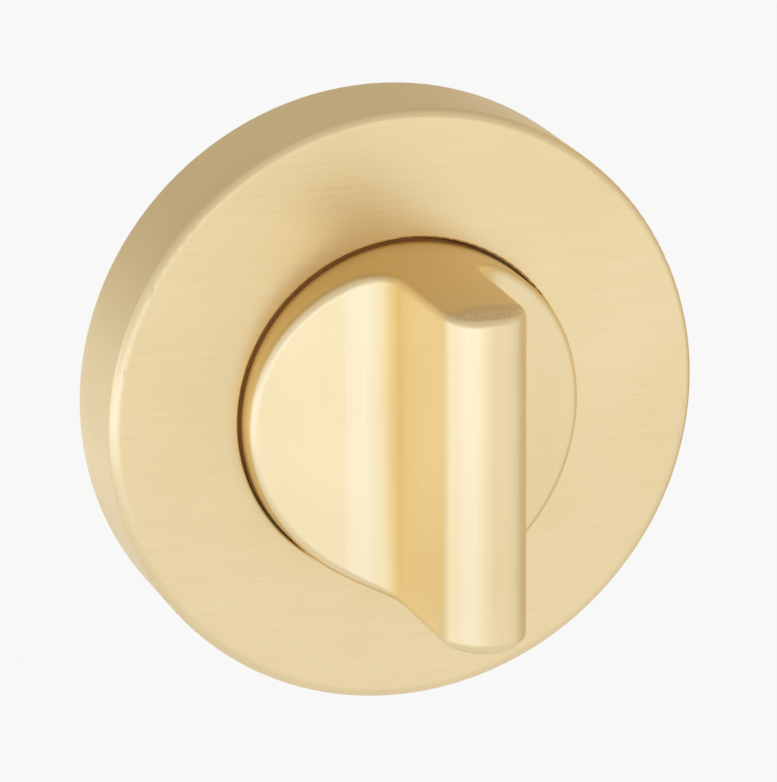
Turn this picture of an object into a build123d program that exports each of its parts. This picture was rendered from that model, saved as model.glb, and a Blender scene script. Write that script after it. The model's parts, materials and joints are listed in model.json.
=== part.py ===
from build123d import *
import math
import os

# Bathroom thumbturn: a round concealed-fix rose with a milled turn knob in its middle.
# The origin is on the turning axis, in the plane of the rose's back. +Z is up on the door, +Y points
# into the door, and the knob points out along -Y. Depths are measured outwards from the door.

# Cover rose
rose_dia = 52.0
rose_depth = 9.4
cover_wall = 1.2
cover_edge_radius = 0.9
cover_hole_edge_radius = 0.2
cover_bend_radius = 0.4

# Knob head
knob_dia = 29.4
knob_height = 22.7          # crown above the cover's face
knob_gap = 0.2              # all round, between the knob and the cover's hole
knob_back_chamfer = 0.3
blade_thickness = 7.7       # at the foot
blade_draft = 1.2           # degrees on each wall
foot_radius = 5.0
flank_foot_height = 5.8     # where flank and wall would meet, above the cover's face
flank_runout_height = 2.1   # where the cutter leaves the blank, above the cover's face
flank_sag = 0.12
cutter_overrun = 1.0
end_facet_height = 3.0      # turned facet round the blank's front edge
end_facet_depth = 0.35
milled_edge_radius = 1.0

# Journal and what it carries
journal_dia = 12.0
journal_end_depth = 0.2
journal_chamfer = 0.3
groove_land = 0.8           # journal left behind the circlip groove
circlip_thickness = 1.0
circlip_grip = 0.5          # groove depth
circlip_band = 1.9          # radial width opposite the lugs
circlip_taper = 0.3         # band is this much narrower at the lugs
circlip_lug_reach = 3.2
circlip_lug_width = 2.4
circlip_opening = 2.0
circlip_eye_dia = 1.3
spring_washer_thickness = 0.4
spring_washer_rise = 0.6
spring_washer_room = 0.8    # radial, inside the counterbore
flat_washer_thickness = 0.8
flat_washer_room = 0.3      # radial, inside the counterbore

# Bearing bush
bush_wall = 1.5
bush_flange_room = 0.45     # between the flange and the ball pockets
bush_flange_thickness = 1.0

# Spindle and its grub screw
spindle_size = 5.0
spindle_reach = 45.0        # behind the door face
spindle_socket_depth = 14.0
spindle_chamfer = 0.5
grub_dia = 4.0
grub_recess = 0.3           # head below the journal's surface
grub_socket = 2.0           # across flats
grub_socket_depth = 1.5
grub_depth = 6.0            # from the door

# Sub-rose casting
hub_front_depth = 7.0
hub_margin = 0.9            # hub's radius beyond the knob's
base_thickness = 2.6
back_relief = 0.6
back_land = 2.6             # seat left round the counterbore
rim_wall = 3.0
rim_chamfer = 0.5
counterbore_wall = 0.35     # between the counterbore and the ball pockets
boss_dia = 9.0
boss_depth = 5.0
rib_thickness = 1.6
rib_count = 6
rib_depth = 5.4

# Quarter-turn stop and detents
turn_angle = 90.0
stop_inset = 2.2            # circle of pin and balls, in from the knob's edge
stop_pin_dia = 2.5
stop_pin_length = 6.0
stop_pin_grip = 3.0         # length pressed into the knob
stop_end_room = 0.4         # between the pin's end and the slot's floor
ball_dia = 3.5
ball_dimple = 0.45          # depth of the dimples in the knob's back
ball_pocket_depth = 5.6
detent_angles = {"left": 135.0, "right": 315.0}
spring_wire = 0.4
spring_turns = 3.5

# Cover's snap ring
ring_wire = 1.2
ring_depth = 3.6            # wire's middle, from the door
ring_bite = 0.2             # wire stands into the cover's groove by this much
ring_opening = 18.0         # degrees

# Fixing screws
screw_spacing = 38.0
screw_dia = 3.5
screw_shank_dia = 2.6       # plain shank, from the head to the door face
screw_length = 20.0
screw_head_dia = 6.8
screw_point = 4.0
screw_hole_dia = 4.2
countersink_angle = 90.0
driver_room = 0.3           # radial, round the head
recess_width = 0.9
recess_span = 3.6
recess_depth = 1.4

# Clearances
running_clearance = 0.05    # radial, turning fits
axial_clearance = 0.05      # between faces that turn against each other
push_clearance = 0.02       # radial, pushed-in pieces
cover_clearance = 0.15      # cover over sub-rose, radial
slot_clearance = 0.1        # stop pin in its slot, each side
pocket_clearance = 0.1      # ball in its pocket, radial
socket_clearance = 0.05     # spindle in its socket, each side
wire_clearance = 0.05       # snap ring in its grooves
washer_clearance = 0.1      # washers on the journal, radial

# Radii
rose_radius = rose_dia / 2
cover_bore_radius = rose_radius - cover_wall
knob_radius = knob_dia / 2
cover_hole_radius = knob_radius + knob_gap
hub_radius = knob_radius + hub_margin
stop_radius = knob_radius - stop_inset
journal_radius = journal_dia / 2
groove_radius = journal_radius - circlip_grip
bush_bore_radius = journal_radius + running_clearance
bush_radius = bush_bore_radius + bush_wall
hub_bore_radius = bush_radius + push_clearance
rim_radius = cover_bore_radius - cover_clearance
rim_bore_radius = rim_radius - rim_wall
stop_pin_radius = stop_pin_dia / 2
ball_radius = ball_dia / 2
pocket_radius = ball_radius + pocket_clearance
pocket_inside = stop_radius - pocket_radius
bush_flange_dia = 2 * (pocket_inside - bush_flange_room)
counterbore_dia = 2 * (pocket_inside - counterbore_wall)
counterbore_radius = counterbore_dia / 2
washer_bore_radius = journal_radius + washer_clearance
flat_washer_width = counterbore_radius - flat_washer_room - washer_bore_radius
spring_washer_width = counterbore_radius - spring_washer_room - washer_bore_radius

# Depths, from the door outwards
groove_back = journal_end_depth + groove_land
circlip_back = groove_back + axial_clearance
circlip_front = circlip_back + circlip_thickness
groove_front = circlip_front + axial_clearance
spring_washer_back = circlip_front + axial_clearance
spring_washer_front = spring_washer_back + spring_washer_rise + spring_washer_thickness
flat_washer_back = spring_washer_front + axial_clearance
flat_washer_front = flat_washer_back + flat_washer_thickness
hub_back = flat_washer_front
bush_front = hub_front_depth + bush_flange_thickness
knob_back = bush_front + axial_clearance
crown_depth = rose_depth + knob_height
cover_seat = rose_depth - cover_wall
stop_pin_end = knob_back - (stop_pin_length - stop_pin_grip)
stop_slot_floor = stop_pin_end - stop_end_room
ball_centre_depth = knob_back - axial_clearance - ball_radius
pocket_floor = hub_front_depth - ball_pocket_depth

# Planes: a half-section with radius across and depth up, and the same depths along +Z
section = Plane(origin=(0, 0, 0), x_dir=(1, 0, 0), z_dir=(0, 0, -1))
upright_section = Plane(origin=(0, 0, 0), x_dir=(0, 0, 1), z_dir=(1, 0, 0))


def facing(depth):
    # Plane parallel to the door at this depth, seen from the front: X across, Z up
    return Plane.XZ.offset(depth)


def on_circle(radius, angle):
    return (radius * math.cos(math.radians(angle)), radius * math.sin(math.radians(angle)))


def corners_at(sketch, *points):
    # The sketch's own corners that lie nearest to these points
    return [sketch.vertices().sort_by_distance(point)[0] for point in points]


os.makedirs("parts", exist_ok=True)

# Cover rose: pressed cup with a snap-ring groove inside
with BuildPart() as cover_rose:
    with BuildSketch(section) as cup:
        with BuildLine():
            Polyline(
                (cover_hole_radius, cover_seat),
                (cover_bore_radius, cover_seat),
                (cover_bore_radius, 0),
                (rose_radius, 0),
                (rose_radius, rose_depth),
                (cover_hole_radius, rose_depth),
                close=True,
            )
        make_face()
        fillet(corners_at(cup, (rose_radius, rose_depth)), cover_edge_radius)
        fillet(corners_at(cup, (cover_hole_radius, rose_depth)), cover_hole_edge_radius)
        fillet(corners_at(cup, (cover_bore_radius, cover_seat)), cover_bend_radius)
    revolve(axis=Axis.Y)
    with BuildSketch(section) as cup_groove:
        with Locations((rim_radius + ring_bite - ring_wire / 2, ring_depth)):
            Circle(ring_wire / 2 + wire_clearance)
    revolve(axis=Axis.Y, mode=Mode.SUBTRACT)
cover_rose.part.label = "cover_rose"
export_step(cover_rose.part, "parts/cover_rose.step")

# Sub-rose: die casting with hub, rim, ribs and screw bosses
with BuildPart() as sub_rose:
    with BuildSketch(section) as casting:
        with BuildLine():
            Polyline(
                (counterbore_radius, 0),
                (rim_radius, 0),
                (rim_radius, cover_seat - rim_chamfer),
                (rim_radius - rim_chamfer, cover_seat),
                (rim_bore_radius, cover_seat),
                (rim_bore_radius, base_thickness),
                (hub_radius, base_thickness),
                (hub_radius, hub_front_depth),
                (hub_bore_radius, hub_front_depth),
                (hub_bore_radius, hub_back),
                (counterbore_radius, hub_back),
                close=True,
            )
        make_face()
    revolve(axis=Axis.Y)
    web_middle = (hub_radius + rim_bore_radius) / 2
    web_length = rim_bore_radius - hub_radius + rim_wall
    with BuildSketch(facing(base_thickness)) as ribs:
        with PolarLocations(web_middle, rib_count, start_angle=180 / rib_count):
            Rectangle(web_length, rib_thickness)
    extrude(amount=rib_depth - base_thickness)
    with BuildSketch(facing(base_thickness)) as bosses:
        with GridLocations(screw_spacing, 0, 2, 1):
            Circle(boss_dia / 2)
    extrude(amount=boss_depth - base_thickness)
    with Locations(facing(boss_depth)):
        with GridLocations(screw_spacing, 0, 2, 1):
            CounterSinkHole(screw_hole_dia / 2, screw_head_dia / 2, counter_sink_angle=countersink_angle)
    with BuildSketch(facing(boss_depth)) as driver_access:
        with GridLocations(screw_spacing, 0, 2, 1):
            Circle(screw_head_dia / 2 + driver_room)
    extrude(amount=cover_seat - boss_depth, mode=Mode.SUBTRACT)
    with BuildSketch(facing(0)) as relief:
        Circle(rim_bore_radius)
        Circle(counterbore_radius + back_land, mode=Mode.SUBTRACT)
        with GridLocations(screw_spacing, 0, 2, 1):
            Circle(boss_dia / 2, mode=Mode.SUBTRACT)
    extrude(amount=back_relief, mode=Mode.SUBTRACT)
    with BuildSketch(section) as rim_groove:
        with Locations((rim_radius + ring_bite - ring_wire / 2, ring_depth)):
            Rectangle(ring_wire + 2 * wire_clearance, ring_wire + 2 * wire_clearance)
    revolve(axis=Axis.Y, mode=Mode.SUBTRACT)
    with BuildSketch(facing(hub_front_depth)) as stop_slot:
        with BuildLine(mode=Mode.PRIVATE) as sweep_line:
            CenterArc((0, 0), stop_radius, 90, -turn_angle)
        SlotArc(sweep_line.edge(), stop_pin_dia + 2 * slot_clearance)
    extrude(amount=stop_slot_floor - hub_front_depth, mode=Mode.SUBTRACT)
    with BuildSketch(facing(hub_front_depth)) as ball_pockets:
        with Locations(*[on_circle(stop_radius, angle) for angle in detent_angles.values()]):
            Circle(pocket_radius)
    extrude(amount=-ball_pocket_depth, mode=Mode.SUBTRACT)
sub_rose.part.label = "sub_rose"
export_step(sub_rose.part, "parts/sub_rose.step")

# Cover snap ring: split round wire
with BuildPart() as cover_snap_ring:
    with BuildSketch(section) as ring_section:
        with Locations((rim_radius + ring_bite - ring_wire / 2, ring_depth)):
            Circle(ring_wire / 2)
    revolve(axis=Axis.Y, revolution_arc=360 - ring_opening)
cover_snap_ring.part.label = "cover_snap_ring"
export_step(cover_snap_ring.part, "parts/cover_snap_ring.step")

# Thumbturn: turned blank, then flanks and blade milled straight across it
blade_foot = blade_thickness / 2
draft_sine = math.sin(math.radians(blade_draft))
draft_cosine = math.cos(math.radians(blade_draft))
blade_lean = (knob_height - flank_foot_height) * draft_sine
crown_radius = (blade_foot * draft_cosine - blade_lean) / (1 - draft_sine)  # touches both walls
crown_side = crown_radius * draft_cosine
shoulder_depth = crown_depth - crown_radius * (1 - draft_sine)
flank_end = knob_radius + cutter_overrun
flank_middle = (blade_foot + flank_end) / 2
flank_middle_height = (flank_foot_height + flank_runout_height) / 2 - flank_sag
dimple_angles = [angle + turned for angle in detent_angles.values() for turned in (0, turn_angle)]
dimple_places = [on_circle(stop_radius, angle) for angle in dimple_angles]
facet_slope = end_facet_depth / end_facet_height
blank_end_radius = knob_radius - facet_slope * (end_facet_height + cutter_overrun)
with BuildPart() as thumbturn:
    with BuildSketch(section) as blank:
        with BuildLine():
            Polyline(
                (0, journal_end_depth),
                (journal_radius - journal_chamfer, journal_end_depth),
                (journal_radius, journal_end_depth + journal_chamfer),
                (journal_radius, groove_back),
                (groove_radius, groove_back),
                (groove_radius, groove_front),
                (journal_radius, groove_front),
                (journal_radius, knob_back),
                (knob_radius - knob_back_chamfer, knob_back),
                (knob_radius, knob_back + knob_back_chamfer),
                (knob_radius, crown_depth - end_facet_height),
                (blank_end_radius, crown_depth + cutter_overrun),
                (0, crown_depth + cutter_overrun),
                close=True,
            )
        make_face()
    revolve(axis=Axis.Y)
    with BuildSketch(section) as milled:
        with BuildLine():
            right_flank = ThreePointArc(
                (flank_end, rose_depth + flank_runout_height),
                (flank_middle, rose_depth + flank_middle_height),
                (blade_foot, rose_depth + flank_foot_height),
            )
            right_wall = Line(right_flank @ 1, (crown_side, shoulder_depth))
            crown = ThreePointArc(right_wall @ 1, (0, crown_depth), (-crown_side, shoulder_depth))
            left_wall = Line(crown @ 1, (-blade_foot, rose_depth + flank_foot_height))
            left_flank = ThreePointArc(
                left_wall @ 1,
                (-flank_middle, rose_depth + flank_middle_height),
                (-flank_end, rose_depth + flank_runout_height),
            )
            Polyline(
                left_flank @ 1,
                (-flank_end, -journal_end_depth),
                (flank_end, -journal_end_depth),
                right_flank @ 0,
            )
        make_face()
        fillet(corners_at(milled, left_wall @ 1, right_wall @ 0), foot_radius)
    extrude(amount=knob_dia, both=True, mode=Mode.INTERSECT)
    milled_rim = thumbturn.edges().filter_by(GeomType.LINE, reverse=True)
    milled_rim = milled_rim.filter_by(lambda edge: -edge.center().Y > rose_depth)
    fillet(milled_rim, milled_edge_radius)
    with BuildSketch(facing(journal_end_depth)) as socket:
        Rectangle(spindle_size + 2 * socket_clearance, spindle_size + 2 * socket_clearance)
    extrude(amount=spindle_socket_depth, mode=Mode.SUBTRACT)
    with BuildSketch(Plane.XY) as grub_hole:
        with Locations((0, -grub_depth)):
            Circle(grub_dia / 2 + push_clearance)
    extrude(amount=journal_dia, mode=Mode.SUBTRACT)
    with BuildSketch(facing(knob_back)) as pin_hole:
        with Locations((0, stop_radius)):
            Circle(stop_pin_radius + push_clearance)
    extrude(amount=stop_pin_grip + push_clearance, mode=Mode.SUBTRACT)
    with Locations(facing(knob_back - ball_radius + ball_dimple)):
        with Locations(*dimple_places):
            Sphere(ball_radius, mode=Mode.SUBTRACT)
thumbturn.part.label = "thumbturn"
export_step(thumbturn.part, "parts/thumbturn.step")

# Bearing bush: nylon, its flange takes the knob's thrust
with BuildPart() as bearing_bush:
    with BuildSketch(section) as bush_section:
        with BuildLine():
            Polyline(
                (bush_bore_radius, hub_back),
                (bush_radius, hub_back),
                (bush_radius, hub_front_depth),
                (bush_flange_dia / 2, hub_front_depth),
                (bush_flange_dia / 2, bush_front),
                (bush_bore_radius, bush_front),
                close=True,
            )
        make_face()
    revolve(axis=Axis.Y)
bearing_bush.part.label = "bearing_bush"
export_step(bearing_bush.part, "parts/bearing_bush.step")

# Flat washer behind the hub
with BuildPart() as flat_washer:
    with BuildSketch(facing(flat_washer_back)) as flat_ring:
        Circle(washer_bore_radius + flat_washer_width)
        Circle(washer_bore_radius, mode=Mode.SUBTRACT)
    extrude(amount=flat_washer_thickness)
flat_washer.part.label = "flat_washer"
export_step(flat_washer.part, "parts/flat_washer.step")

# Spring washer: a ring bowed about one diameter
spring_washer_reach = washer_bore_radius + spring_washer_width
with BuildPart() as spring_washer:
    with BuildSketch(facing(spring_washer_back)) as bowed_ring:
        Circle(spring_washer_reach)
        Circle(washer_bore_radius, mode=Mode.SUBTRACT)
    extrude(amount=spring_washer_front - spring_washer_back)
    with BuildSketch(upright_section) as bow:
        with BuildLine():
            inner_bow = ThreePointArc(
                (-spring_washer_reach, spring_washer_back + spring_washer_rise),
                (0, spring_washer_back),
                (spring_washer_reach, spring_washer_back + spring_washer_rise),
            )
            outer_bow = ThreePointArc(
                (spring_washer_reach, spring_washer_front),
                (0, spring_washer_back + spring_washer_thickness),
                (-spring_washer_reach, spring_washer_front),
            )
            Line(inner_bow @ 1, outer_bow @ 0)
            Line(outer_bow @ 1, inner_bow @ 0)
        make_face()
    extrude(amount=spring_washer_reach, both=True, mode=Mode.INTERSECT)
spring_washer.part.label = "spring_washer"
export_step(spring_washer.part, "parts/spring_washer.step")

# Circlip: tapered band with two eyed lugs
lug_middle = groove_radius + circlip_lug_reach / 2
lug_offset = (circlip_opening + circlip_lug_width) / 2
with BuildPart() as circlip:
    with BuildSketch(facing(circlip_back)) as clip:
        with Locations((0, circlip_taper / 2)):
            Circle(groove_radius + circlip_band - circlip_taper / 2)
        with Locations((-lug_offset, -lug_middle), (lug_offset, -lug_middle)):
            Rectangle(circlip_lug_width, circlip_lug_reach)
        Circle(groove_radius + push_clearance, mode=Mode.SUBTRACT)
        with Locations((0, -lug_middle)):
            Rectangle(circlip_opening, 2 * circlip_lug_reach, mode=Mode.SUBTRACT)
        eye_middle = groove_radius + circlip_lug_reach - circlip_lug_width / 2
        with Locations((-lug_offset, -eye_middle), (lug_offset, -eye_middle)):
            Circle(circlip_eye_dia / 2, mode=Mode.SUBTRACT)
    extrude(amount=circlip_thickness)
circlip.part.label = "circlip"
export_step(circlip.part, "parts/circlip.step")

# Spindle: square bar with chamfered ends
socket_floor = journal_end_depth + spindle_socket_depth
with BuildPart() as spindle:
    with BuildSketch(facing(-spindle_reach)) as bar:
        Rectangle(spindle_size, spindle_size)
    extrude(amount=spindle_reach + socket_floor - axial_clearance)
    ends = spindle.faces().filter_by(Axis.Y)
    chamfer(ends.edges(), spindle_chamfer)
spindle.part.label = "spindle"
export_step(spindle.part, "parts/spindle.step")

# Spindle grub screw: sunk in the journal, tip on the spindle
grub_tip = spindle_size / 2
grub_length = journal_radius - grub_recess - grub_tip
with BuildPart() as spindle_grub_screw:
    with BuildSketch(Plane.XY.offset(grub_tip)) as grub_shank:
        with Locations((0, -grub_depth)):
            Circle(grub_dia / 2)
    extrude(amount=grub_length)
    with BuildSketch(Plane.XY.offset(grub_tip + grub_length)) as grub_key:
        with Locations((0, -grub_depth)):
            RegularPolygon(grub_socket / 2, 6, major_radius=False)
    extrude(amount=-grub_socket_depth, mode=Mode.SUBTRACT)
spindle_grub_screw.part.label = "spindle_grub_screw"
export_step(spindle_grub_screw.part, "parts/spindle_grub_screw.step")

# Stop pin
with BuildPart() as stop_pin:
    with BuildSketch(facing(stop_pin_end)) as dowel:
        with Locations((0, stop_radius)):
            Circle(stop_pin_radius)
    extrude(amount=stop_pin_length)
stop_pin.part.label = "stop_pin"
export_step(stop_pin.part, "parts/stop_pin.step")

# Detent balls and the springs under them
spring_radius = ball_radius - spring_wire
spring_top = ball_centre_depth - math.sqrt((ball_radius + spring_wire / 2) ** 2 - spring_radius**2)
spring_bottom = pocket_floor + spring_wire / 2 + axial_clearance
spring_height = spring_top - spring_bottom
for side, angle in detent_angles.items():
    across, up = on_circle(stop_radius, angle)
    with BuildPart() as detent_ball:
        with Locations((across, -ball_centre_depth, up)):
            Sphere(ball_radius)
    detent_ball.part.label = f"detent_ball_{side}"
    export_step(detent_ball.part, f"parts/detent_ball_{side}.step")
    with BuildPart() as detent_spring:
        with BuildLine() as coil:
            Helix(
                pitch=spring_height / spring_turns,
                height=spring_height,
                radius=spring_radius,
                center=(across, -spring_bottom, up),
                direction=(0, -1, 0),
            )
        with BuildSketch(Plane(origin=coil.line @ 0, z_dir=coil.line % 0)) as wire:
            Circle(spring_wire / 2)
        sweep(path=coil.line, is_frenet=True)
    detent_spring.part.label = f"detent_spring_{side}"
    export_step(detent_spring.part, f"parts/detent_spring_{side}.step")

# Fixing screws: countersunk wood screws, heads flush with the bosses
screw_centre = screw_spacing / 2
screw_top = boss_depth - push_clearance
screw_head_radius = screw_head_dia / 2 - 2 * push_clearance
shank_radius = screw_shank_dia / 2
head_cone = (screw_head_radius - shank_radius) / math.tan(math.radians(countersink_angle / 2))
with BuildPart() as fixing_screws:
    with BuildSketch(section) as screw_section:
        with BuildLine():
            Polyline(
                (screw_centre, screw_top),
                (screw_centre + screw_head_radius, screw_top),
                (screw_centre + shank_radius, screw_top - head_cone),
                (screw_centre + shank_radius, 0),
                (screw_centre + screw_dia / 2, 0),
                (screw_centre + screw_dia / 2, screw_top - screw_length + screw_point),
                (screw_centre, screw_top - screw_length),
                close=True,
            )
        make_face()
    revolve(axis=Axis((screw_centre, 0, 0), (0, 1, 0)))
    with BuildSketch(facing(screw_top)) as recess:
        with Locations((screw_centre, 0)):
            Rectangle(recess_span, recess_width)
            Rectangle(recess_width, recess_span)
    extrude(amount=-recess_depth, mode=Mode.SUBTRACT)
    mirror(about=Plane.YZ)
fixing_screws.part.label = "fixing_screws"
export_step(fixing_screws.part, "parts/fixing_screws.step")
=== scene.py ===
import json
import math

import bmesh
import bpy
from mathutils import Matrix, Vector

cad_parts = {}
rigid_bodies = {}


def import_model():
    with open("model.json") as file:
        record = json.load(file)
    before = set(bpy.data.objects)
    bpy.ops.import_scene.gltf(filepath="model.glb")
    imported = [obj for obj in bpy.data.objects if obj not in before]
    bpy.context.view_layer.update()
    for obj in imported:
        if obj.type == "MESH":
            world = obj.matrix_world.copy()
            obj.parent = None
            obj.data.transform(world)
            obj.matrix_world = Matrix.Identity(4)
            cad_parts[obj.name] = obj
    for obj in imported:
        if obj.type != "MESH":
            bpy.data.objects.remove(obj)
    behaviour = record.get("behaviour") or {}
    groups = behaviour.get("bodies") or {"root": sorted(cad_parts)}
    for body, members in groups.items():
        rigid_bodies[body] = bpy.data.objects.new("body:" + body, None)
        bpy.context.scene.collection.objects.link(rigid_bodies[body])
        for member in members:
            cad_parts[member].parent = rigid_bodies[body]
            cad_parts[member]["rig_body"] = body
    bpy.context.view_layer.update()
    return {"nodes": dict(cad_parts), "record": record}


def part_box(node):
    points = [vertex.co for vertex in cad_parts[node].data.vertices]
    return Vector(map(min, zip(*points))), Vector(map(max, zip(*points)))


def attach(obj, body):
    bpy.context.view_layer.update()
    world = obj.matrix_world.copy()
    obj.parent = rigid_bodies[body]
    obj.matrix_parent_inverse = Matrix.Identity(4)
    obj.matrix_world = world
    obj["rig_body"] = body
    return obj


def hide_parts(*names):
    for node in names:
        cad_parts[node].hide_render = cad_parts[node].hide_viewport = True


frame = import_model()
nodes = frame["nodes"]
slotOf = {row["node"]: row["material_slot"] for row in frame["record"]["subparts"]}
print("frame loaded,", len(nodes), "nodes")


class Wire:  # a socket that does arithmetic
    def __init__(self, finish, socket):
        self.finish = finish
        self.socket = socket

    def reckon(self, operation, first, second=0.0):
        return self.finish.node("Math", {"operation": operation}, {0: first, 1: second})

    def __add__(self, other):
        return self.reckon("ADD", self, other)

    def __sub__(self, other):
        return self.reckon("SUBTRACT", self, other)

    def __mul__(self, other):
        return self.reckon("MULTIPLY", self, other)

    def __truediv__(self, other):
        return self.reckon("DIVIDE", self, other)

    def __pow__(self, other):
        return self.reckon("POWER", self, other)

    def __radd__(self, other):
        return self.reckon("ADD", other, self)

    def __rsub__(self, other):
        return self.reckon("SUBTRACT", other, self)

    def __rmul__(self, other):
        return self.reckon("MULTIPLY", other, self)

    def __rtruediv__(self, other):
        return self.reckon("DIVIDE", other, self)

    def __rpow__(self, other):
        return self.reckon("POWER", other, self)


class Finish:  # the node tree of one material or of the world
    def __init__(self, owner):
        owner.use_nodes = True
        self.owner = owner
        self.tree = owner.node_tree
        self.tree.nodes.clear()

    def node(self, kind, settings=None, inputs=None, output=0):
        made = self.tree.nodes.new("ShaderNode" + kind)
        for key, value in (settings or {}).items():
            setattr(made, key, value)
        for key, value in (inputs or {}).items():
            if isinstance(value, Wire):
                self.tree.links.new(value.socket, made.inputs[key])
            else:
                made.inputs[key].default_value = value
        return None if output is None else Wire(self, made.outputs[output])

    def axes(self, vector):
        split = self.node("SeparateXYZ", inputs={"Vector": vector})
        return [Wire(self, socket) for socket in split.socket.node.outputs]

    def vector(self, x, y, z):
        return self.node("CombineXYZ", inputs={"X": x, "Y": y, "Z": z})

    def noise(self, vector, detail, scale=1.0):
        return self.node("TexNoise", inputs={"Vector": vector, "Scale": scale, "Detail": detail})

    def ramp(self, value, low, high, toLow=0.0, toHigh=1.0):  # smooth step between two values
        return self.node("MapRange", {"interpolation_type": "SMOOTHSTEP"}, {
            "Value": value, "From Min": low, "From Max": high, "To Min": toLow, "To Max": toHigh})

    def mixColour(self, share, first, second):
        return self.node("Mix", {"data_type": "RGBA"}, {0: share, 6: first, 7: second}, output=2)

    def mixValue(self, share, first, second):
        return self.node("Mix", {"data_type": "FLOAT"}, {0: share, 2: first, 3: second})

    def most(self, first, second):
        return self.node("Math", {"operation": "MAXIMUM"}, {0: first, 1: second})

    def surface(self, shader):
        kind = "OutputWorld" if isinstance(self.owner, bpy.types.World) else "OutputMaterial"
        self.node(kind, inputs={"Surface": shader}, output=None)
        return self.owner


def newFinish(name):
    return Finish(bpy.data.materials.new(name))


# Satin brass: straight brush lines on the flat and milled faces, rings on the turned sides
brassLook = {
    "pale": (0.95, 0.785, 0.47, 1.0),
    "deep": (0.87, 0.70, 0.40, 1.0),
    "edgeTint": (1.0, 0.97, 0.90, 1.0),
    # deeper as-turned tone; on the knob's side it is partly painted shade
    "turnedAndShadeTone": (0.78, 0.575, 0.28, 1.0),
    "roughnessSwing": 0.10,
    "lineLength": 0.010,
    "lineWidth": 0.00008,
    "lineHeight": 0.000012,
    "lineStrength": 0.6,
    "ringStretch": 2.0,
    "cloudSize": 0.014,
    "cloudShare": 0.5,
    "noiseDetail": 2.0,
    "toneSpan": (0.25, 0.75),
    "speckSpan": (0.2, 0.7),
    "speckSize": 0.00022,
    "facetFade": 0.00012,
    # pale non-metal tone for the gap walls: painted light that lifts the shade in the gap
    "gapPaintedLightTone": (0.90, 0.60, 0.27, 1.0),
    "gapFade": 0.0005,
}


def satinBrass(name, look):
    finish = newFinish(name)
    place = finish.node("TexCoord", output="Object")
    x, y, z = finish.axes(place)
    along, across = 1 / brassLook["lineLength"], 1 / brassLook["lineWidth"]
    sideways, upright = (along, across) if look["brushed"] == "across" else (across, along)
    stroke = finish.vector(x * sideways, y * across, z * upright)
    angle = finish.node("Math", {"operation": "ARCTAN2"}, {0: x, 1: z})
    ring = finish.vector(angle * brassLook["ringStretch"], y * across, 0.0)
    radius = (x * x + z * z) ** 0.5
    turned = finish.ramp(radius, look["turnedFrom"], look["turnedTo"])
    detail = brassLook["noiseDetail"]
    lines = finish.mixValue(turned, finish.noise(stroke, detail), finish.noise(ring, detail))
    cloud = finish.noise(place, detail, 1 / brassLook["cloudSize"])
    tone = finish.ramp(finish.mixValue(brassLook["cloudShare"], lines, cloud), *brassLook["toneSpan"])
    colour = finish.mixColour(tone, brassLook["deep"], brassLook["pale"])
    if "facet" in look:  # side and end facet stay as turned: deeper, and grainy on the facet; the side's deeper tone is partly painted shade
        facet, fade = look["facet"], brassLook["facetFade"]
        beyond = 0.0 - y - facet["start"]
        cone = facet["radius"] - beyond * facet["slope"] - facet["skin"]
        outer = finish.ramp(radius, cone - fade, cone)
        ahead = finish.ramp(beyond, facet["bare"], facet["bare"] + fade)
        grain = finish.noise(place, detail, 1 / brassLook["speckSize"])
        speck = finish.ramp(grain, *brassLook["speckSpan"])
        side = finish.ramp(radius, facet["radius"] - 2 * fade, facet["radius"] - fade)
        asTurnedAndShaded = finish.most(outer * ahead * speck, side * facet["sideTurnedAndShadeShare"])
        colour = finish.mixColour(asTurnedAndShaded, colour, brassLook["turnedAndShadeTone"])
    gap = look["gap"]  # both walls of the gap round the knob stay dull, and their pale tone is painted light that lifts the shade in the gap
    sunk = finish.ramp(y, gap["mouth"], gap["mouth"] + brassLook["gapFade"])
    gapDullAndPaintedLight = finish.ramp(radius, gap["from"], gap["to"]) * sunk
    colour = finish.mixColour(gapDullAndPaintedLight, colour, brassLook["gapPaintedLightTone"])
    shader = finish.node("BsdfPrincipled", inputs={
        "Base Color": colour,
        "Metallic": 1.0 - gapDullAndPaintedLight,
        "Roughness": look["roughness"] + (lines - 0.5) * brassLook["roughnessSwing"],
        "Specular Tint": brassLook["edgeTint"],
        "Normal": finish.node("Bump", inputs={
            "Height": lines, "Distance": brassLook["lineHeight"], "Strength": brassLook["lineStrength"]}),
    })
    return finish.surface(shader)


# Metals and plastic behind the cover: tone from grain, no direction
hiddenLooks = {
    "zinc_casting": {"pale": (0.56, 0.49, 0.33, 1), "deep": (0.50, 0.43, 0.28, 1), "metallic": 1.0,
                     "roughness": 0.48, "swing": 0.12, "grain": 0.0003, "height": 0.000008},
    "plated_steel": {"pale": (0.66, 0.67, 0.68, 1), "deep": (0.60, 0.61, 0.63, 1), "metallic": 1.0,
                     "roughness": 0.28, "swing": 0.08, "grain": 0.0007, "height": 0.000002},
    "spring_steel": {"pale": (0.24, 0.24, 0.26, 1), "deep": (0.20, 0.20, 0.22, 1), "metallic": 1.0,
                     "roughness": 0.34, "swing": 0.08, "grain": 0.0005, "height": 0.000002},
    "black_steel": {"pale": (0.050, 0.050, 0.055, 1), "deep": (0.022, 0.022, 0.025, 1), "metallic": 0.7,
                    "roughness": 0.42, "swing": 0.10, "grain": 0.0008, "height": 0.000004},
    "ball_steel": {"pale": (0.72, 0.73, 0.74, 1), "deep": (0.66, 0.67, 0.68, 1), "metallic": 1.0,
                   "roughness": 0.10, "swing": 0.04, "grain": 0.0012, "height": 0.000001},
    "nylon": {"pale": (0.80, 0.78, 0.70, 1), "deep": (0.72, 0.70, 0.62, 1), "metallic": 0.0,
              "roughness": 0.48, "swing": 0.10, "grain": 0.0012, "height": 0.000006},
}


grainLook = {"detail": 4.0, "toneSpan": (0.30, 0.70), "strength": 0.6}


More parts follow.
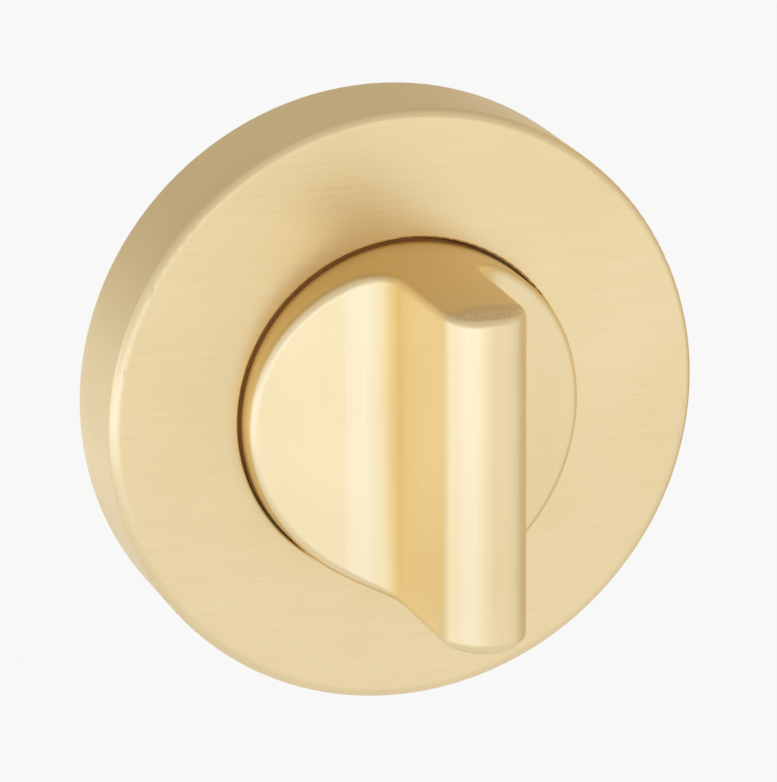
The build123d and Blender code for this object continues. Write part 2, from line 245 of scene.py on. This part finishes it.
def grained(name, look):
    finish = newFinish(name)
    place = finish.node("TexCoord", output="Object")
    grain = finish.noise(place, grainLook["detail"], 1 / look["grain"])
    tone = finish.ramp(grain, *grainLook["toneSpan"])
    shader = finish.node("BsdfPrincipled", inputs={
        "Base Color": finish.mixColour(tone, look["deep"], look["pale"]),
        "Metallic": look["metallic"],
        "Roughness": look["roughness"] + (grain - 0.5) * look["swing"],
        "Normal": finish.node("Bump", inputs={
            "Height": grain, "Distance": look["height"], "Strength": grainLook["strength"]}),
    })
    return finish.surface(shader)


materials = {slot: grained(slot, look) for slot, look in hiddenLooks.items()}
print("finishes mixed")


def dress(piece, node, material):  # the piece takes the node's place, body and slot
    piece.data.materials.clear()
    piece.data.materials.append(material)
    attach(piece, nodes[node]["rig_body"])
    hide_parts(node)


def newPiece(name, shape):
    mesh = bpy.data.meshes.new(name)
    shape.to_mesh(mesh)
    shape.free()
    piece = bpy.data.objects.new(name, mesh)
    bpy.context.scene.collection.objects.link(piece)
    return piece


copySettings = {"weld": 1e-6, "sharpAngle": math.radians(42)}


def smoothFaces(shape):  # smooth between sharp edges
    for face in shape.faces:
        face.smooth = True
    for edge in shape.edges:
        edge.smooth = edge.calc_face_angle(math.pi) < copySettings["sharpAngle"]


def weldedShape(node):  # CAD triangles joined up
    shape = bmesh.new()
    shape.from_mesh(nodes[node].data)
    bmesh.ops.remove_doubles(shape, verts=shape.verts, dist=copySettings["weld"])
    smoothFaces(shape)
    return shape


def finishPiece(name, node, shape, material):
    piece = newPiece(name, shape)
    if "custom_normal" in piece.data.attributes:
        piece.data.attributes.remove(piece.data.attributes["custom_normal"])
    even = piece.modifiers.new("even", "WEIGHTED_NORMAL")
    even.keep_sharp = True
    dress(piece, node, material)
    return piece


# Rose and knob
roseFace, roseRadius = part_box("cover_rose")[0].y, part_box("cover_rose")[1].x
knobLow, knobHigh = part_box("thumbturn")
roseLook = {
    "roughness": 0.36,
    "brushed": "across",
    "turnedFrom": roseRadius - 0.0008,
    "turnedTo": roseRadius - 0.0002,
    "gap": {"mouth": roseFace, "from": knobHigh.x + 0.0009, "to": knobHigh.x + 0.0006},
}
knobLook = {
    "roughness": 0.34,
    "brushed": "upright",
    "turnedFrom": knobHigh.x - 0.0007,
    "turnedTo": knobHigh.x - 0.0003,
    # the side share below deepens the knob's side, partly as turned finish and partly as painted shade
    "facet": {"radius": knobHigh.x, "start": -knobLow.y - 0.003, "slope": 0.117, "skin": 0.00014,
              "bare": 0.0009, "sideTurnedAndShadeShare": 0.95},
    "gap": {"mouth": roseFace, "from": knobHigh.x - 0.0003, "to": knobHigh.x - 0.0001},
}
roseBrass = satinBrass("rose_brass", roseLook)
knobBrass = satinBrass("knob_brass", knobLook)
finishPiece("rose", "cover_rose", weldedShape("cover_rose"), roseBrass)
finishPiece("knob", "thumbturn", weldedShape("thumbturn"), knobBrass)
print("rose and knob brushed")

# Fixing screws: heads and shanks from the CAD, with the thread that the solid leaves out
screwLook = {
    "apart": 0.038,
    "cut": -0.0002,
    "overlap": 0.0004,
    "shankRadius": 0.00128,
    "crestRadius": 0.00174,
    "coreShare": 0.66,
    "rootShare": 0.55,
    "pitch": 0.00135,
    "flank": 0.00042,
    "land": 0.00005,
    "point": 0.004,
    "threadStop": 0.0006,
    "stepsRound": 28,
}
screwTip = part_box("fixing_screws")[1].y


def crestAt(depth):  # outside of the thread, narrowing to the point
    return screwLook["crestRadius"] * min(1.0, max(0.0, screwTip - depth) / screwLook["point"])


def screwHeads():
    shape = weldedShape("fixing_screws")
    everything = shape.verts[:] + shape.edges[:] + shape.faces[:]
    bmesh.ops.bisect_plane(shape, geom=everything, plane_co=(0, screwLook["cut"], 0), plane_no=(0, 1, 0),
                           clear_outer=True)
    bmesh.ops.holes_fill(shape, edges=[edge for edge in shape.edges if edge.is_boundary])
    return shape


def turnCore(rod):
    start = screwLook["cut"] - screwLook["overlap"]
    outline = [(0.0, start), (screwLook["shankRadius"], start), (screwLook["shankRadius"], 0.0)]
    for depth in (screwLook["pitch"] / 2, screwTip - screwLook["point"], screwTip):
        outline.append((crestAt(depth) * screwLook["coreShare"], depth))
    spots = [rod.verts.new((radius, depth, 0)) for radius, depth in outline]
    edges = [rod.edges.new(pair) for pair in zip(spots, spots[1:])]
    bmesh.ops.spin(rod, geom=spots + edges, cent=(0, 0, 0), axis=(0, 1, 0), angle=2 * math.pi,
                   steps=screwLook["stepsRound"], use_merge=True)
    bmesh.ops.remove_doubles(rod, verts=rod.verts, dist=copySettings["weld"])


def rollThread(rod):
    core = set(rod.verts)
    flank, land, crest = screwLook["flank"], screwLook["land"], screwLook["crestRadius"]
    root = crest * screwLook["rootShare"]
    outline = [(root, 0.0), (crest, flank - land), (crest, flank + land), (root, 2 * flank)]
    spots = [rod.verts.new((radius, depth, 0)) for radius, depth in outline]
    ridge = rod.faces.new(spots)
    travel = screwTip - screwLook["threadStop"] - 2 * flank
    turns = travel / screwLook["pitch"]
    steps = round(turns * screwLook["stepsRound"])
    bmesh.ops.spin(rod, geom=spots + ridge.edges[:] + [ridge], cent=(0, 0, 0), axis=(0, 1, 0),
                   dvec=(0, travel / steps, 0), angle=2 * math.pi * turns, steps=steps)
    for vert in set(rod.verts) - core:  # runs in below the shank and narrows to the point
        radius = math.hypot(vert.co.x, vert.co.z)
        outside = crestAt(vert.co.y)
        wanted = outside * screwLook["rootShare"]
        if radius > (root + crest) / 2:
            wanted += (outside - wanted) * min(1.0, vert.co.y / screwLook["pitch"])
        vert.co.x *= wanted / radius
        vert.co.z *= wanted / radius


def fixingScrews():
    rod = bmesh.new()
    turnCore(rod)
    rollThread(rod)
    bmesh.ops.recalc_face_normals(rod, faces=rod.faces)
    smoothFaces(rod)
    shape = screwHeads()
    for side in (-0.5, 1.0):  # one half to the left, then the whole way across
        bmesh.ops.translate(rod, verts=rod.verts, vec=(side * screwLook["apart"], 0, 0))
        mesh = bpy.data.meshes.new("rod")
        rod.to_mesh(mesh)
        shape.from_mesh(mesh)
        bpy.data.meshes.remove(mesh)
    rod.free()
    return shape


finishPiece("fixing-screws", "fixing_screws", fixingScrews(), materials[slotOf["fixing_screws"]])
print("screws threaded")

# Everything else behind the cover
for node in nodes:
    if node not in ("cover_rose", "thumbturn", "fixing_screws"):
        finishPiece(node.replace("_", "-"), node, weldedShape(node), materials[slotOf[node]])
print("inner pieces dressed")

# Floor well below, so that its shadow is out of the picture, and a pale studio round it
studio = {
    "floorDrop": 0.40,
    "floorHalf": 4.0,
    "paperPale": (0.90, 0.90, 0.895, 1.0),
    "paperDeep": (0.88, 0.88, 0.875, 1.0),
    "paperGrain": 0.025,
    "paperDetail": 3.0,
    "white": (0.955, 0.955, 0.955, 1.0),
    "whiteShare": 0.96,
    "mirrored": 0.885,
    "dim": 0.57,
    "warm": (0.955, 0.88, 0.76, 1.0),
    "dimFrom": 0.22,
    "dimTo": 0.58,
    "backShare": 0.45,
    "upShare": 0.65,
    "overheadFrom": 0.12,
    "overheadTo": 0.60,
    "overheadShare": 0.55,
    "cardPale": (0.96, 0.84, 0.67, 1.0),
    "cardDeep": (0.93, 0.80, 0.62, 1.0),
    "cardGrain": 0.016,
    "cardAt": (0.50, 0.44, -0.05),
    "cardHalf": 0.45,
}


def grainedPaper(finish, pale, deep, grain):
    spots = finish.noise(finish.node("TexCoord", output="Object"), studio["paperDetail"], 1 / grain)
    return finish.node("BsdfDiffuse", inputs={"Color": finish.mixColour(spots, pale, deep)})


def paleFloor():  # shown white to the camera, and a little less bright to the metal
    shape = bmesh.new()
    bmesh.ops.create_grid(shape, x_segments=1, y_segments=1, size=studio["floorHalf"])
    bmesh.ops.translate(shape, verts=shape.verts, vec=(0, 0, -studio["floorDrop"]))
    floor = newPiece("floor", shape)
    finish = newFinish("floor_paper")
    paper = grainedPaper(finish, studio["paperPale"], studio["paperDeep"], studio["paperGrain"])
    camera, glossy, clear = (finish.node("LightPath", output=f"Is {kind} Ray")
                             for kind in ("Camera", "Glossy", "Transmission"))
    level = finish.mixValue(camera, studio["mirrored"], 1.0)
    glow = finish.node("Emission", inputs={"Color": studio["white"], "Strength": level})
    shown = finish.node("Math", {"operation": "ADD", "use_clamp": True}, {0: camera, 1: glossy + clear})
    shader = finish.node("MixShader", inputs={0: shown * studio["whiteShare"], 1: paper, 2: glow})
    floor.data.materials.append(finish.surface(shader))


def studioSky():  # white to the camera; to the object it dims and warms overhead and behind
    world = bpy.data.worlds.new("studio")
    bpy.context.scene.world = world
    finish = Finish(world)
    _, back, up = finish.axes(finish.node("TexCoord", output="Generated"))
    height = up * studio["upShare"] + back * studio["backShare"]
    behind = finish.ramp(height, studio["dimFrom"], studio["dimTo"])
    overhead = finish.ramp(up, studio["overheadFrom"], studio["overheadTo"])
    away = finish.most(behind, overhead * studio["overheadShare"])
    unseen = 1.0 - finish.node("LightPath", output="Is Camera Ray")
    colour = finish.mixColour(away * unseen, studio["white"], studio["warm"])
    strength = finish.mixValue(unseen, 1.0, finish.mixValue(away, studio["mirrored"], studio["dim"]))
    finish.surface(finish.node("Background", inputs={"Color": colour, "Strength": strength}))


def warmCard():  # stands out of the picture and keeps the right-hand edges from washing out
    shape = bmesh.new()
    bmesh.ops.create_grid(shape, x_segments=1, y_segments=1, size=studio["cardHalf"])
    bmesh.ops.rotate(shape, verts=shape.verts, matrix=Matrix.Rotation(math.pi / 2, 3, "Y"))
    bmesh.ops.translate(shape, verts=shape.verts, vec=studio["cardAt"])
    card = newPiece("warm_card", shape)
    card.visible_camera = False
    finish = newFinish("card_felt")
    felt = grainedPaper(finish, studio["cardPale"], studio["cardDeep"], studio["cardGrain"])
    card.data.materials.append(finish.surface(felt))


lamps = {
    "key": {"from": (-0.79, -0.605, -0.38), "size": (1.22, 0.75), "power": 3.3, "colour": (0.42, 0.58, 1.0)},
    "left": {"from": (-0.18, -1.03, -0.16), "size": (0.58, 0.58), "power": 0.43, "colour": (0.84, 0.91, 1.0)},
    "front": {"from": (0.50, -0.95, -0.12), "size": (0.60, 0.60), "power": 0.20, "colour": (1.0, 1.0, 1.0)},
    "right": {"from": (0.80, -0.52, -0.25), "size": (0.50, 0.50), "power": 0.08, "colour": (1.0, 1.0, 1.0)},
    "back": {"from": (-0.90, 0.22, -0.20), "size": (0.65, 0.65), "power": 0.72, "colour": (0.68, 0.82, 1.0)},
    "under": {"from": (0.10, 0.95, -0.34), "size": (0.55, 0.55), "power": 0.80, "colour": (0.75, 0.87, 1.0)},
}


def hangLamp(name, setting):
    light = bpy.data.lights.new(name, "AREA")
    light.shape = "RECTANGLE"
    light.size, light.size_y = setting["size"]
    light.energy = setting["power"]
    light.color = setting["colour"]
    lamp = bpy.data.objects.new(name, light)
    lamp.location = setting["from"]
    lamp.rotation_euler = (-Vector(setting["from"])).to_track_quat("-Z", "Y").to_euler()
    bpy.context.scene.collection.objects.link(lamp)


paleFloor()
studioSky()
warmCard()
for name, setting in lamps.items():
    hangLamp(name, setting)
bpy.context.scene.view_settings.view_transform = "Standard"
print("studio lit")

# Camera, fitted to the outlines of the rose, its hole and the blade
eye = {
    "azimuth": -18.655,
    "elevation": 17.636,
    "roll": -0.297,
    "distance": 0.500,
    "aside": 0.001505,
    "above": -0.001241,
    "lens": 267.77,
    "near": 0.01,
    "far": 50.0,
}


def setCamera():
    turn, rise, roll = (math.radians(eye[key]) for key in ("azimuth", "elevation", "roll"))
    back = Vector((math.sin(turn) * math.cos(rise), -math.cos(turn) * math.cos(rise), math.sin(rise)))
    level = Vector((math.cos(turn), math.sin(turn), 0))
    upright = back.cross(level)
    right = level * math.cos(roll) + upright * math.sin(roll)
    up = upright * math.cos(roll) - level * math.sin(roll)
    data = bpy.data.cameras.new("eye")
    data.lens = eye["lens"]
    data.clip_start = eye["near"]
    data.clip_end = eye["far"]
    camera = bpy.data.objects.new("eye", data)
    spot = back * eye["distance"] + right * eye["aside"] + up * eye["above"]
    camera.matrix_world = Matrix.Translation(spot) @ Matrix((right, up, back)).transposed().to_4x4()
    bpy.context.scene.collection.objects.link(camera)
    bpy.context.scene.camera = camera


setCamera()
print("camera set")
